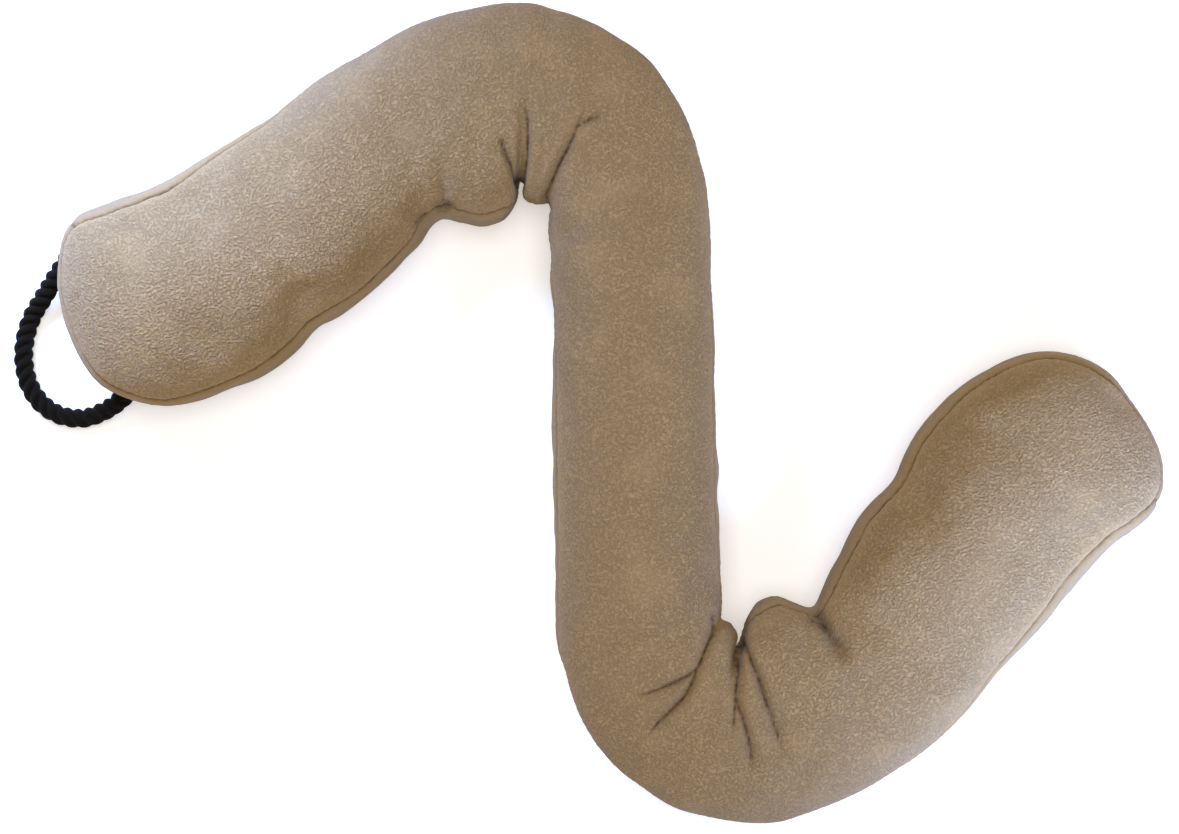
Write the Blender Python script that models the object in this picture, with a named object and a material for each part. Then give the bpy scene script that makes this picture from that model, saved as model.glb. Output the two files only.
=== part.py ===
"""Draught excluder: a long stuffed fleece tube lying in an S, with a rope loop sewn into one end.

The cover is cut like a boxed cushion: a top panel and a base panel with a strip sewn between them
all the way round. It is bent twice, so the inner side of each bend is drawn into a deep notch, and
folds fan out from the notch over the top. The tube is one filled solid. The rope is a second one.

The tables are in millimetres, the scene is in metres. +Z is up and the base panel lies on z = 0.
The origin is under the middle of the tube's box. "Far" is the side that is sewn to +Y on the leg
with the loop, and "near" is the other side; both names follow the tube round its bends.
"""

import math
from typing import NamedTuple

import bmesh
import bpy
import numpy as np

MM = 0.001

# Height of the widest line of a section, as a share of its crown.
WAIST_SHARE = 0.46
# How square a section is: 2 would be an ellipse.
SQUARENESS = 2.5
# How far the section's round underside would reach below the table if the table did not flatten it.
SAG = 4.0
# A sewn seam draws the cover in by this much, over this many degrees to each side of it.
SEAM_DEPTH = 1.6
SEAM_SPREAD_DEG = 5.0
# Height of the seam between the strip and the base panel.
BASE_SEAM_HEIGHT = 12.0
# Folds reach down the walls to this height and fade out under it.
FOLD_FLOOR = 8.0
FOLD_FADE = 22.0
# Longest step between rows round the two ends.
END_STEP = 10.0
# Angles round half a section, from the crown at 90 degrees to the base at -90.
TOP_ANGLES = (90, 74, 60, 47, 35)
LOW_ANGLES = (-52, -70, -90)


class Section(NamedTuple):
    """A section across the tube.

    It holds the points of the outline at its far and near sides, its crown, the height of the top
    seam on each side, and the number of loft rows up to the next section.
    """

    far_x: float
    far_y: float
    near_x: float
    near_y: float
    crown: float
    far_seam: float
    near_seam: float
    rows: int


class Fold(NamedTuple):
    """A fold: where it starts at the edge, turns and runs out, its depth at the edge and half width."""

    start_x: float
    start_y: float
    turn_x: float
    turn_y: float
    end_x: float
    end_y: float
    depth: float
    half_width: float


# From the loop end to the plain end.
SECTIONS = {
    "loop_end": Section(-267, 113, -205, 11, 72, 58, 57, 2),
    "first_leg_1": Section(-238, 124, -177, 22, 75, 58, 56, 2),
    "first_leg_2": Section(-213, 139, -154, 42, 77, 56, 56, 2),
    "first_leg_3": Section(-186, 155, -129, 60, 78, 53, 56, 2),
    "first_leg_4": Section(-157, 176, -105, 84, 79, 46, 57, 2),
    "first_dimple": Section(-131, 192, -91, 102, 79, 40, 58, 4),
    "first_lobe_1": Section(-98, 209, -80, 100, 80, 36, 59, 4),
    "first_lobe_2": Section(-76, 215, -66, 97, 80, 34, 59, 4),
    "first_lobe_3": Section(-60, 217, -55, 101, 80, 34, 58, 4),
    "first_lobe_4": Section(-51, 217, -51, 109, 80, 34, 55, 3),
    "first_notch": Section(-41, 217, -49, 121, 80, 34, 46, 3),
    "first_roll_1": Section(-30, 215, -46, 113, 80, 34, 36, 4),
    "first_roll_2": Section(-14, 210, -40, 109, 80, 34, 33, 4),
    "first_roll_3": Section(3, 201, -35, 110, 80, 34, 34, 4),
    "first_turn_1": Section(20, 187, -34, 104, 80, 35, 37, 4),
    "first_turn_2": Section(32, 171, -34, 96, 80, 37, 40, 3),
    "first_turn_3": Section(41, 153, -33, 86, 80, 41, 44, 3),
    "first_turn_4": Section(47, 135, -33, 70, 81, 46, 48, 2),
    "middle_1": Section(51, 119, -32, 52, 82, 49, 51, 4),
    "middle_2": Section(54, 60, -32, 23, 83, 53, 54, 4),
    "middle_3": Section(56, 1, -32, -9, 83, 55, 55, 4),
    "middle_4": Section(57, -46, -31, -68, 82, 54, 54, 2),
    "middle_5": Section(58, -73, -31, -99, 82, 51, 52, 2),
    "second_turn_1": Section(59, -94, -30, -123, 81, 47, 49, 3),
    "second_turn_2": Section(59, -103, -26, -138, 80, 42, 45, 3),
    "second_turn_3": Section(59, -107, -21, -153, 80, 37, 41, 3),
    "second_roll_1": Section(59, -109, -14, -168, 80, 34, 37, 4),
    "second_roll_2": Section(63, -111, -3, -184, 80, 33, 35, 4),
    "second_roll_3": Section(67, -117, 12, -197, 80, 36, 34, 4),
    "second_notch": Section(68, -122, 33, -210, 80, 46, 34, 4),
    "second_lobe_1": Section(70, -114, 55, -216, 80, 55, 34, 4),
    "second_lobe_2": Section(72, -105, 73, -218, 80, 58, 34, 4),
    "second_lobe_3": Section(77, -99, 90, -217, 80, 59, 35, 4),
    "second_lobe_4": Section(88, -96, 106, -212, 80, 59, 38, 4),
    "second_lobe_5": Section(98, -100, 126, -204, 80, 59, 42, 4),
    "second_dimple": Section(105, -103, 145, -194, 79, 58, 46, 3),
    "last_leg_1": Section(111, -93, 163, -182, 79, 57, 50, 2),
    "last_leg_2": Section(118, -77, 184, -163, 78, 56, 53, 2),
    "last_leg_3": Section(129, -55, 206, -137, 78, 55, 55, 2),
    "last_leg_4": Section(146, -34, 226, -116, 77, 55, 57, 2),
    "last_leg_5": Section(158, -12, 245, -93, 75, 55, 58, 2),
    "plain_end": Section(178, 11, 266, -72, 72, 56, 58, 0),
}

# Corners and flats of the outline round each end, in order round the tube: x, y.
PLAIN_END_OUTLINE = ((208, 30), (234, 34), (261, 26), (277, 6), (290, -16), (294, -37), (286, -56))
LOOP_END_OUTLINE = ((-239, 3), (-270, 13), (-286, 36), (-294, 65), (-292, 91), (-285, 105))

# The folds that fan out from the two notches, and the dimples beside the lobes.
FOLDS = {
    "first_tuck": Fold(-49, 118, -52, 131, -59, 142, 7.0, 5.0),
    "first_centre": Fold(-49, 118, -46, 137, -46, 163, 9.0, 6.0),
    "first_turn": Fold(-36, 107, -28, 128, -14, 157, 9.0, 6.0),
    "first_dimple": Fold(-89, 103, -92, 110, -97, 120, 4.0, 5.0),
    "second_turn": Fold(56, -105, 46, -129, 12, -146, 9.0, 6.0),
    "second_branch": Fold(56, -105, 42, -138, 21, -165, 7.0, 6.0),
    "second_centre": Fold(68, -121, 63, -143, 62, -164, 8.0, 6.0),
    "second_pleat": Fold(68, -121, 67, -155, 74, -186, 6.0, 5.0),
    "second_tuck": Fold(68, -121, 77, -145, 90, -180, 8.0, 6.0),
    "second_dimple": Fold(104, -105, 112, -115, 121, -128, 5.0, 7.0),
}

# The loop's rope and its route: out of the base seam at the end, down to the table, round, and
# back in. The first and last points lie inside the tube, which the rope is trimmed to.
ROPE_DIAMETER = 9.4
ROPE_SEAT_GAP = 0.3
ROPE_POINT_STEP = 2.0
ROPE_ROUTE = (
    (-286, 92, 21), (-293, 82, 19), (-300, 72.5, 15), (-307.5, 62, 9.5), (-313.5, 53, 6),
    (-317, 43.5, 4.9), (-318.5, 34, 4.9), (-318, 24, 4.9), (-315, 14, 4.9), (-308.5, 5, 4.9),
    (-298.5, -1.2, 4.9), (-286, -2.7, 5.2), (-274.5, 1.2, 7.5), (-266, 6.5, 11), (-258, 14, 15),
    (-249, 23, 19),
)


def clear_scene() -> None:
    """Remove every object that the file starts with."""
    for item in list(bpy.data.objects):
        bpy.data.objects.remove(item, do_unlink=True)


def column(*names: str) -> np.ndarray:
    """Return one or more named columns of the table of sections, in millimetres."""
    rows = [[getattr(section, name) for name in names] for section in SECTIONS.values()]
    return np.array(rows, dtype=float).squeeze()


def curve_point(points: np.ndarray, gap: int, share: float) -> np.ndarray:
    """Return a point of the smooth closed curve through the points, part of the way along one gap."""
    count = len(points)
    p0, p1, p2, p3 = (points[(gap + k) % count] for k in (-1, 0, 1, 2))
    t1 = math.sqrt(np.linalg.norm(p1 - p0))
    t2 = t1 + math.sqrt(np.linalg.norm(p2 - p1))
    t3 = t2 + math.sqrt(np.linalg.norm(p3 - p2))
    t = t1 + share * (t2 - t1)
    a1 = (t1 - t) / t1 * p0 + t / t1 * p1
    a2 = (t2 - t) / (t2 - t1) * p1 + (t - t1) / (t2 - t1) * p2
    a3 = (t3 - t) / (t3 - t2) * p2 + (t - t2) / (t3 - t2) * p3
    b1 = (t2 - t) / t2 * a1 + t / t2 * a2
    b2 = (t3 - t) / (t3 - t1) * a2 + (t - t1) / (t3 - t1) * a3
    return (t2 - t) / (t2 - t1) * b1 + (t - t1) / (t2 - t1) * b2


def open_curve_point(points: np.ndarray, gap: int, share: float) -> np.ndarray:
    """Return a point of the smooth open curve through the points."""
    padded = np.vstack([2 * points[0] - points[1], points, 2 * points[-1] - points[-2]])
    return curve_point(padded, gap + 1, share)


def distance_to_fold(spot: np.ndarray, fold: Fold) -> tuple:
    """Return how far a spot lies from a fold's line, and how far along the fold it is from 0 to 1."""
    line = np.array(fold[:6], dtype=float).reshape(3, 2)
    steps = [np.linalg.norm(line[k + 1] - line[k]) for k in range(2)]
    best = (1e9, 0.0)
    for k in range(2):
        run = line[k + 1] - line[k]
        share = float(np.clip(np.dot(spot - line[k], run) / steps[k] ** 2, 0, 1))
        away = float(np.linalg.norm(spot - line[k] - share * run))
        if away < best[0]:
            best = (away, (sum(steps[:k]) + share * steps[k]) / sum(steps))
    return best


def fold_depth(spot: np.ndarray) -> float:
    """Return how deep the folds draw the cover in above one spot of the table."""
    deepest = 0.0
    for fold in FOLDS.values():
        away, along = distance_to_fold(spot, fold)
        run_out = 1 - along ** 2
        deepest = max(deepest, fold.depth * run_out * math.exp(-((away / fold.half_width) ** 2)))
    return deepest


def seam_angle(height: float, crown: float) -> float:
    """Return the angle round the section at which the cover reaches a height, in degrees."""
    waist = WAIST_SHARE * crown
    rise = (height - waist) / ((crown - waist) if height > waist else (waist + SAG))
    return math.degrees(math.copysign(math.asin(abs(rise) ** (SQUARENESS / 2)), rise))


def section_angles(top_seam: float, base_seam: float) -> list:
    """Return the angles of one half section, with three at each seam."""
    seams = [seam + k * SEAM_SPREAD_DEG for seam in (top_seam, base_seam) for k in (1, 0, -1)]
    waist = (seams[2] + seams[3]) / 2
    middle = seams[:3] + [(seams[2] + waist) / 2, (waist + seams[3]) / 2] + seams[3:]
    # The crown's own angles close up where the seam lies low on the outside of a bend.
    squeeze = (90 - middle[0]) / (90 - TOP_ANGLES[-1] + 4)
    top = [90 - (90 - angle) * squeeze for angle in TOP_ANGLES]
    return top + middle + list(LOW_ANGLES)


def section_point(edge: np.ndarray, core: np.ndarray, crown: float, angle: float, seams: tuple) -> np.ndarray:
    """Return the point of the cover at one angle between the crown and the base.

    Args:
        edge: where the section meets the tube's outline.
        core: the middle of the section.
        crown: height of the section.
        angle: 90 at the crown, 0 at the widest line, -90 under the middle.
        seams: the angles at which the cover is sewn.
    """
    waist = WAIST_SHARE * crown
    turn = math.radians(angle)
    reach = abs(math.cos(turn)) ** (2 / SQUARENESS) if angle > -90 else 0.0
    lift = math.copysign(abs(math.sin(turn)) ** (2 / SQUARENESS), turn)
    height = waist + lift * ((crown - waist) if lift > 0 else (waist + SAG))
    height = max(height, 0.0)
    across = edge - core
    width = np.linalg.norm(across)
    spot = core + across * reach
    inward = SEAM_DEPTH if any(abs(angle - seam) < 0.01 for seam in seams) else 0.0
    inward += fold_depth(spot) * min(1.0, max(0.0, (height - FOLD_FLOOR) / FOLD_FADE))
    towards = np.array([*(-across / width * reach * (crown / width)), (waist - height) / (crown / 2)])
    if inward:
        towards /= max(np.linalg.norm(towards), 0.001)
        spot = spot + towards[:2] * inward
        height = max(height + towards[2] * inward, 0.0)
    return np.array([spot[0], spot[1], height])


def outline_rows() -> tuple:
    """Work out the loft's rows.

    Returns:
        The spine's points with their crowns, and the outline's points with the spine point, crown
        and top seam height that belong to each, in order round the tube.
    """
    far, near = column("far_x", "far_y"), column("near_x", "near_y")
    crowns, far_seams, near_seams = column("crown"), column("far_seam"), column("near_seam")
    row_counts = column("rows").astype(int)
    count = len(far)
    loop = np.vstack([far, np.array(PLAIN_END_OUTLINE), near[::-1], np.array(LOOP_END_OUTLINE)])
    plain_start, near_start = count - 1, count + len(PLAIN_END_OUTLINE)
    loop_start = near_start + count - 1

    far_row, near_row = [], []
    for gap in range(count - 1):
        steps = int(row_counts[gap])
        last = gap == count - 2
        for k in range(steps + last):
            share = k / steps
            crown = (1 - share) * crowns[gap] + share * crowns[gap + 1]
            seams = [(1 - share) * side[gap] + share * side[gap + 1] for side in (far_seams, near_seams)]
            far_row.append((curve_point(loop, gap, share), crown, seams[0]))
            near_row.append((curve_point(loop, loop_start - 1 - gap, 1 - share), crown, seams[1]))
    spine = [((a[0] + b[0]) / 2, a[1]) for a, b in zip(far_row, near_row)]

    def end_fan(first: int, gaps: int, core: int, start: tuple, finish: tuple) -> list:
        fan = []
        for gap in range(gaps):
            length = np.linalg.norm(loop[(first + gap + 1) % len(loop)] - loop[first + gap])
            steps = max(1, math.ceil(length / END_STEP))
            for k in range(0 if gap else 1, steps):
                share = (gap + k / steps) / gaps
                seam = (1 - share) * start[2] + share * finish[2]
                fan.append((curve_point(loop, first + gap, k / steps), core, start[1], seam))
        return fan

    top = len(spine) - 1
    rows = [(edge, i, crown, seam) for i, (edge, crown, seam) in enumerate(far_row)]
    rows += end_fan(plain_start, len(PLAIN_END_OUTLINE) + 1, top, far_row[-1], near_row[-1])
    rows += [(edge, i, crown, seam) for i, (edge, crown, seam) in reversed(list(enumerate(near_row)))]
    rows += end_fan(loop_start, len(LOOP_END_OUTLINE) + 1, 0, near_row[0], far_row[0])
    return spine, rows


def build_tube() -> bpy.types.Object:
    """Loft the filled tube through its sections, closed along the spine above and below."""
    spine, rows = outline_rows()
    shell = bmesh.new()

    def spine_vert(index: int, angle: float) -> bmesh.types.BMVert:
        core, crown = spine[index]
        beside = core + np.array([1.0, 0.0])
        return shell.verts.new(section_point(beside, core, crown, angle, ()) * MM)

    crest = [spine_vert(i, 90) for i in range(len(spine))]
    keel = [spine_vert(i, -90) for i in range(len(spine))]
    ribs = []
    for edge, core_index, crown, seam_height in rows:
        core = spine[core_index][0]
        seams = (seam_angle(seam_height, crown), seam_angle(BASE_SEAM_HEIGHT, crown))
        angles = section_angles(*seams)[1:-1]
        rib = [shell.verts.new(section_point(edge, core, crown, angle, seams) * MM) for angle in angles]
        ribs.append([crest[core_index], *rib, keel[core_index]])
    for rib, following in zip(ribs, ribs[1:] + ribs[:1]):
        for k in range(len(rib) - 1):
            corners = (rib[k], rib[k + 1], following[k + 1], following[k])
            shell.faces.new(list(dict.fromkeys(corners)))
    bmesh.ops.recalc_face_normals(shell, faces=shell.faces)
    mesh = bpy.data.meshes.new("stuffed_tube")
    shell.to_mesh(mesh)
    shell.free()
    mesh.shade_smooth()
    return bpy.data.objects.new("stuffed_tube", mesh)


def build_rope_loop(seat: bpy.types.Object) -> bpy.types.Object:
    """Run the rope's tube along its route, with both ends trimmed to the seat around the stuffed tube."""
    route = np.array(ROPE_ROUTE, dtype=float)
    fine = np.array([open_curve_point(route, gap, k / 12) for gap in range(len(route) - 1) for k in range(12)])
    fine = np.vstack([fine, route[-1]])
    travelled = np.concatenate([[0.0], np.cumsum(np.linalg.norm(np.diff(fine, axis=0), axis=1))])
    count = round(travelled[-1] / (ROPE_POINT_STEP * ROPE_DIAMETER)) + 1
    stops = np.linspace(0, travelled[-1], count)
    points = np.column_stack([np.interp(stops, travelled, fine[:, axis]) for axis in range(3)])

    curve = bpy.data.curves.new("rope_route", "CURVE")
    curve.dimensions = "3D"
    curve.bevel_depth = ROPE_DIAMETER / 2 * MM
    curve.bevel_resolution = 3
    curve.use_fill_caps = True
    spline = curve.splines.new("POLY")
    spline.points.add(count - 1)
    for point, place in zip(spline.points, points):
        point.co = (*(place * MM), 1.0)
    route_object = bpy.data.objects.new("rope_route", curve)
    bpy.context.scene.collection.objects.link(route_object)
    evaluated = route_object.evaluated_get(bpy.context.evaluated_depsgraph_get())
    mesh = bpy.data.meshes.new_from_object(evaluated)
    welded = bmesh.new()
    welded.from_mesh(mesh)
    bmesh.ops.remove_doubles(welded, verts=welded.verts, dist=0.00001)
    welded.to_mesh(mesh)
    welded.free()
    bpy.data.objects.remove(route_object, do_unlink=True)

    mesh.name = "rope_loop"
    mesh.shade_smooth()
    rope = bpy.data.objects.new("rope_loop", mesh)
    trim = rope.modifiers.new("trim_to_tube", "BOOLEAN")
    trim.operation = "DIFFERENCE"
    trim.solver = "EXACT"
    trim.object = seat
    return rope


def build_seat(tube: bpy.types.Object) -> bpy.types.Object:
    """Copy the stuffed tube and swell it by the gap that the rope keeps to it."""
    seat = bpy.data.objects.new("rope_seat", tube.data.copy())
    swell = seat.modifiers.new("swell", "DISPLACE")
    swell.strength = ROPE_SEAT_GAP * MM
    swell.mid_level = 0.0
    seat.hide_render = True
    seat.display_type = "WIRE"
    return seat


def finish(item: bpy.types.Object, colour: tuple, roughness: float) -> None:
    """Give an object its own Principled material."""
    material = bpy.data.materials.new(item.name)
    material.use_nodes = True
    shader = material.node_tree.nodes["Principled BSDF"]
    shader.inputs["Base Color"].default_value = (*colour, 1.0)
    shader.inputs["Roughness"].default_value = roughness
    shader.inputs["Metallic"].default_value = 0.0
    item.data.materials.clear()
    item.data.materials.append(material)


def main() -> None:
    """Build the tube and its rope loop."""
    clear_scene()
    parts = bpy.data.collections.new("draught_excluder")
    cutters = bpy.data.collections.new("cutters")
    bpy.context.scene.collection.children.link(parts)
    bpy.context.scene.collection.children.link(cutters)

    tube = build_tube()
    parts.objects.link(tube)
    finish(tube, colour=(0.41, 0.31, 0.20), roughness=0.95)

    seat = build_seat(tube)
    cutters.objects.link(seat)
    rope = build_rope_loop(seat)
    parts.objects.link(rope)
    finish(rope, colour=(0.012, 0.011, 0.011), roughness=0.7)


main()
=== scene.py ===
"""Looks of a draught excluder: a long stuffed fleece tube lying in an S, with a twisted rope loop.

The cover is a top panel and a base panel with a strip sewn between them all the way round. The tables
are in millimetres, like the sizes in the classes, and meshes are made in metres. +Z is up, the base
panel lies on z = 0, and the tube's far side is the one that is sewn to +Y on the leg with the loop.
"""

import logging
import math
from dataclasses import dataclass, field
from enum import Enum, IntEnum
from typing import NamedTuple

import bpy
import numpy as np
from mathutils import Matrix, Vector, kdtree, noise


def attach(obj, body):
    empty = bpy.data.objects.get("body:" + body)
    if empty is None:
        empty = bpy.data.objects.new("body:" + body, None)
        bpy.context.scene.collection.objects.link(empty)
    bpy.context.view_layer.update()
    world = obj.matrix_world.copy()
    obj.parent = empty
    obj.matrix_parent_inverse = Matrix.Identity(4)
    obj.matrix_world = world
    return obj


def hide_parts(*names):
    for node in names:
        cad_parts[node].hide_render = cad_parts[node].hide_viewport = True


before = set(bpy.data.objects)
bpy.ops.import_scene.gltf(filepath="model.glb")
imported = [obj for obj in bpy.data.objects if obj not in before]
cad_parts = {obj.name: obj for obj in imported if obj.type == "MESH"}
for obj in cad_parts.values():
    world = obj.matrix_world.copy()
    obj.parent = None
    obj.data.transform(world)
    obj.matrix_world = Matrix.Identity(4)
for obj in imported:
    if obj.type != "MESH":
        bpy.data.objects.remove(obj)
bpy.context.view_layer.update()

MM = 0.001
CURVE_SAMPLES = 16

log = logging.getLogger("draught_excluder")


class Lie(Enum):
    """How a stretch of the tube lies, with the step between its rows in millimetres."""

    STRAIGHT = 2.4
    BENT = 1.5


class Panel(IntEnum):
    """The cut pieces of the cover, in the order of the tube's materials."""

    TOP = 0
    STRIP = 1
    BASE = 2


class Section(NamedTuple):
    """A section across the tube: its far and near outline points, crown, top seam heights and lie."""

    far_x: float
    far_y: float
    near_x: float
    near_y: float
    crown: float
    far_seam: float
    near_seam: float
    lie: Lie


class EndPoint(NamedTuple):
    """A point of the outline round an end, with the height of the top seam there."""

    x: float
    y: float
    seam: float


class Fold(NamedTuple):
    """A fold of the cover.

    Its line runs from the edge to where it dies out. The rolls beside it have root_width at the edge
    and tip_width at the other end. It stays a sharp crevice up to the share crisp of its length; at 0 it
    is a soft dent that is deepest halfway. The share shadow says how dark the painted shade beside its
    line is, and a crisp fold's crevice gets a painted dark line too.
    """

    line: tuple[tuple[float, float], ...]
    depth: float
    root_width: float
    tip_width: float
    crisp: float
    shadow: float = 0.42


FLAT, BEND = Lie.STRAIGHT, Lie.BENT

# From the loop end to the plain end.
SECTIONS = {
    "loop_end": Section(-267, 113, -205, 11, 72, 56.5, 50, FLAT),
    "first_leg_1": Section(-238, 124, -178.3, 23.8, 75, 58.5, 53, FLAT),
    "first_leg_2": Section(-213, 139, -155.9, 44.2, 77, 57.5, 54.5, FLAT),
    "first_leg_3": Section(-186, 155, -130, 61.2, 78, 55, 54, FLAT),
    "first_leg_4": Section(-157, 176, -106.1, 85.1, 79, 46, 55, BEND),
    "first_dimple": Section(-131, 192, -91, 102, 79, 40, 58, BEND),
    "first_lobe_1": Section(-98, 209, -80.5, 101.2, 80, 36, 58, BEND),
    "first_lobe_2": Section(-76, 215, -67.5, 98.6, 80, 34, 57.5, BEND),
    "first_lobe_3": Section(-60, 217, -56.3, 102.4, 80, 34, 57, BEND),
    "first_lobe_4": Section(-51, 217, -51, 109, 80, 34, 51, BEND),
    "first_notch": Section(-41, 216.3, -49, 121, 80, 34, 41, BEND),
    "first_roll_1": Section(-30.3, 214, -47, 113.4, 80, 34, 36, BEND),
    "first_roll_2": Section(-14.4, 209, -40.5, 110.8, 80, 34, 33, BEND),
    "first_roll_3": Section(2.4, 200, -35, 109.4, 80, 34, 34, BEND),
    "first_turn_1": Section(20, 187, -34, 104, 80, 35, 37, BEND),
    "first_turn_2": Section(32, 171, -34, 96, 80, 37, 40, BEND),
    "first_turn_3": Section(41, 153, -33, 86, 80, 41, 44, FLAT),
    "first_turn_4": Section(47, 135, -33, 70, 81, 46, 48, FLAT),
    "middle_1": Section(51, 119, -32, 52, 82, 49, 51, FLAT),
    "middle_2": Section(54, 60, -32, 23, 83, 53, 54, FLAT),
    "middle_3": Section(56, 1, -32, -9, 83, 55, 55, FLAT),
    "middle_4": Section(57, -46, -31, -68, 82, 54, 54, FLAT),
    "middle_5": Section(58, -73, -31, -99, 82, 51, 52, FLAT),
    "second_turn_1": Section(59, -94, -30, -123, 81, 47, 49, BEND),
    "second_turn_2": Section(59, -103, -26, -138, 80, 42, 45, BEND),
    "second_turn_3": Section(59, -107, -21, -153, 80, 37, 41, BEND),
    "second_roll_1": Section(59, -109, -14, -168, 80, 34, 37, BEND),
    "second_roll_2": Section(63, -111, -3, -184, 80, 33, 35, BEND),
    "second_roll_3": Section(67, -117, 12, -197, 80, 36, 34, BEND),
    "second_notch": Section(68, -122, 33, -210, 80, 40, 34, BEND),
    "second_lobe_1": Section(70, -114, 55, -216, 80, 50, 34, BEND),
    "second_lobe_2": Section(72, -105, 73, -218, 80, 56, 34, BEND),
    "second_lobe_3": Section(77, -99, 90, -217, 80, 58.5, 35, BEND),
    "second_lobe_4": Section(88, -96, 106, -212, 80, 57.5, 38, BEND),
    "second_lobe_5": Section(98, -100, 126, -204, 80, 56.5, 42, BEND),
    "second_dimple": Section(105.5, -101.5, 145, -194, 79, 56, 46, BEND),
    "last_leg_1": Section(111, -93, 163, -182, 79, 57, 50, FLAT),
    "last_leg_2": Section(119.4, -77.7, 184, -163, 78, 55.5, 53, FLAT),
    "last_leg_3": Section(130.8, -56.6, 206, -137, 78, 54.5, 56.5, FLAT),
    "last_leg_4": Section(148.6, -35.6, 226, -116, 77, 54.5, 59, FLAT),
    "last_leg_5": Section(160.4, -13.4, 245, -93, 75, 52, 59.5, FLAT),
    "plain_end": Section(179.5, 9.2, 266, -72, 72, 50, 56.5, FLAT),
}

# Corners and flats of the outline round each end, in order round the tube.
PLAIN_END_OUTLINE = (
    EndPoint(208.8, 28.2, 49), EndPoint(234, 34, 50.5), EndPoint(260.3, 25.1, 51.5),
    EndPoint(277.5, 6.5, 47),
    EndPoint(290, -16, 48), EndPoint(294, -37, 50), EndPoint(291.3, -47, 51.5), EndPoint(286, -56, 55),
)
LOOP_END_OUTLINE = (
    EndPoint(-239, 3, 50), EndPoint(-270, 13, 51.5), EndPoint(-286.5, 35.5, 52), EndPoint(-295, 65, 51),
    EndPoint(-293, 91, 50.5), EndPoint(-289.7, 99.2, 51.5), EndPoint(-285, 105, 55),
)

# Folds that fan out from the two notches, and soft dents beside the lobes and along the inner seams.
FOLDS = {
    "first_tuck": Fold(((-49, 121), (-51, 125.5), (-54, 131.5), (-56.5, 137), (-58, 142)), 9, 6.5, 8, 0.95),
    "first_centre": Fold(
        ((-48.5, 121.5), (-46.5, 128), (-45, 138), (-44.5, 149), (-45, 156), (-46.5, 164)), 8, 7, 9, 0.75
    ),
    "first_spread": Fold(((-44.5, 149), (-43.5, 157.5), (-43, 168)), 2.5, 4, 5, 0),
    "first_roll": Fold(((-37, 112), (-36, 127), (-34.5, 136.5), (-31, 153)), 1.8, 6, 7, 0),
    "first_roll_far": Fold(((-33, 146), (-29.5, 165), (-27.5, 182)), 1.2, 7, 8, 0),
    "first_turn": Fold(
        ((-35, 108), (-35, 113.5), (-33, 118), (-28, 129), (-22.5, 139), (-18.5, 148.5), (-14, 160)),
        8.5, 8, 10, 0.8,
    ),
    "first_branch": Fold(((-18.5, 148.5), (-14.5, 151), (-10.5, 153), (-5, 154.5)), 5, 5.5, 7, 0.75),
    "first_spur": Fold(((-27, 132), (-20, 137), (-13, 139)), 1.5, 4, 5, 0),
    "first_lobe_dent": Fold(((-73, 112), (-71, 136), (-70, 156)), 1.6, 7, 8, 0),
    "first_leg_dent": Fold(((-83, 150), (-85, 165), (-88, 184)), 1.2, 7, 8, 0),
    "first_dimple": Fold(((-86.5, 107.8), (-89.5, 107.2), (-94, 104.8)), 6.5, 4, 4.5, 0.7, 1.0),
    "first_dimple_back": Fold(((-88, 107.8), (-84.5, 107.3), (-81, 106)), 4, 3.5, 3.5, 0.5),
    "first_dimple_trough": Fold(((-88, 107.5), (-88.5, 117), (-91, 134)), 4, 5, 9, 0.25),
    "first_nick": Fold(((-96.5, 104), (-99.5, 101.5), (-104, 96)), 4, 3.5, 4, 0.7),
    "inner_dent_1": Fold(((-95, 92), (-108, 110)), 2.6, 8, 10, 0),
    "inner_dent_2": Fold(((-117, 68), (-135, 84)), 1.8, 9, 12, 0),
    "inner_dent_3": Fold(((-158, 38), (-168, 62)), 1.6, 9, 12, 0),
    "second_turn": Fold(
        (
            (54.5, -107), (54.5, -112), (50, -120.5), (46, -129.5), (44, -133), (34, -139), (22, -144),
            (13, -147),
        ),
        8.5, 8, 9, 0.85,
    ),
    "second_branch": Fold(
        ((44, -133), (42.5, -137.5), (37.5, -147), (29, -155.5), (20.5, -165), (17, -173)), 8, 6.5, 9, 0.75
    ),
    "second_faint": Fold(((25, -154), (14.5, -157.5), (6.5, -160), (2, -172)), 1.6, 5, 6, 0),
    "second_roll": Fold(((52.5, -140), (49.5, -157), (43, -180)), 1.6, 6, 8, 0),
    "second_centre": Fold(
        ((68, -121.5), (65.5, -127), (64, -139), (63.5, -151), (62.5, -168)), 8, 6.5, 8, 0.8
    ),
    "second_pleat": Fold(((64, -149), (68, -160.5), (71.5, -173.5), (73, -190)), 6.5, 6, 7.5, 0.75),
    "second_tuck": Fold(
        ((68, -121.5), (70.5, -126.5), (75.5, -137.5), (79.5, -150), (84, -162), (90, -182)), 8, 7, 9, 0.75
    ),
    "second_dimple": Fold(((107.3, -105.6), (110, -110.5), (115, -118.5), (122, -130)), 8, 6, 9, 0.55, 0.85),
    "second_dimple_back": Fold(((109.5, -108.5), (106, -108), (101.5, -106)), 5, 4, 4, 0.5),
    "outer_dent_1": Fold(((126, -64), (146, -73)), 2.0, 8, 11, 0),
    "outer_dent_2": Fold(((150, -29), (172, -41)), 1.8, 9, 12, 0),
    "outer_dent_3": Fold(((168, 4), (192, -4)), 1.6, 9, 12, 0),
}

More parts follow.
